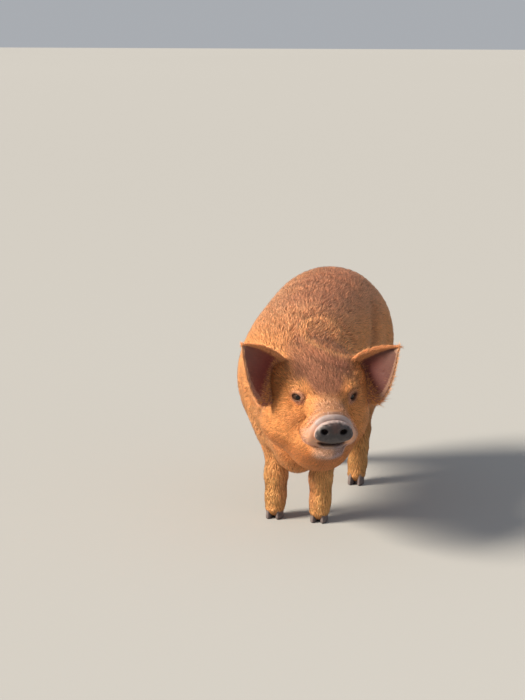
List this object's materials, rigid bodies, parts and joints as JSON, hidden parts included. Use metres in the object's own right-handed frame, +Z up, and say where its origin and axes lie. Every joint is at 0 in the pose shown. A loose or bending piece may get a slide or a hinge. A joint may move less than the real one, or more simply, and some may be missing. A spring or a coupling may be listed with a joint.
{
  "type": "kunekune pig figure",
  "caption": "Young kunekune pig standing still with its head turned to one side, ears held out, ginger coat, short tail hanging.",
  "frame": {"origin": "on the floor below the middle of the animal's box, in metres", "axes": "+Z up, +Y towards the tail, -Y towards the head, +X to the animal's left"},
  "size_m": [0.4214, 0.906, 0.5499],
  "materials": {
    "cream_leg": "cream and golden hair",
    "ear_hide": "thin haired skin",
    "eye": "wet dark eye",
    "ginger_coat": "short ginger hair",
    "ginger_face": "very short ginger hair",
    "hoof_horn": "matt grey horn",
    "snout_hide": "bare dark grey skin"
  },
  "bodies": {
    "root": {"tail": "ginger_coat", "fore_left_leg": "cream_leg", "fore_right_leg": "cream_leg", "hind_left_leg": "cream_leg", "hind_right_leg": "cream_leg", "trunk": "ginger_coat", "neck": "ginger_coat", "lower_jaw": "ginger_face", "eye_left": "eye", "eye_right": "eye", "snout_disc": "snout_hide", "ear_left": "ear_hide", "ear_right": "ear_hide", "head": "ginger_face", "fore_left_claw_left": "hoof_horn", "fore_left_dewclaw_left": "hoof_horn", "fore_left_claw_right": "hoof_horn", "fore_left_dewclaw_right": "hoof_horn", "fore_right_claw_left": "hoof_horn", "fore_right_dewclaw_left": "hoof_horn", "fore_right_claw_right": "hoof_horn", "fore_right_dewclaw_right": "hoof_horn", "hind_left_claw_left": "hoof_horn", "hind_left_dewclaw_left": "hoof_horn", "hind_left_claw_right": "hoof_horn", "hind_left_dewclaw_right": "hoof_horn", "hind_right_claw_left": "hoof_horn", "hind_right_dewclaw_left": "hoof_horn", "hind_right_claw_right": "hoof_horn", "hind_right_dewclaw_right": "hoof_horn"}
  },
  "joints": []
}
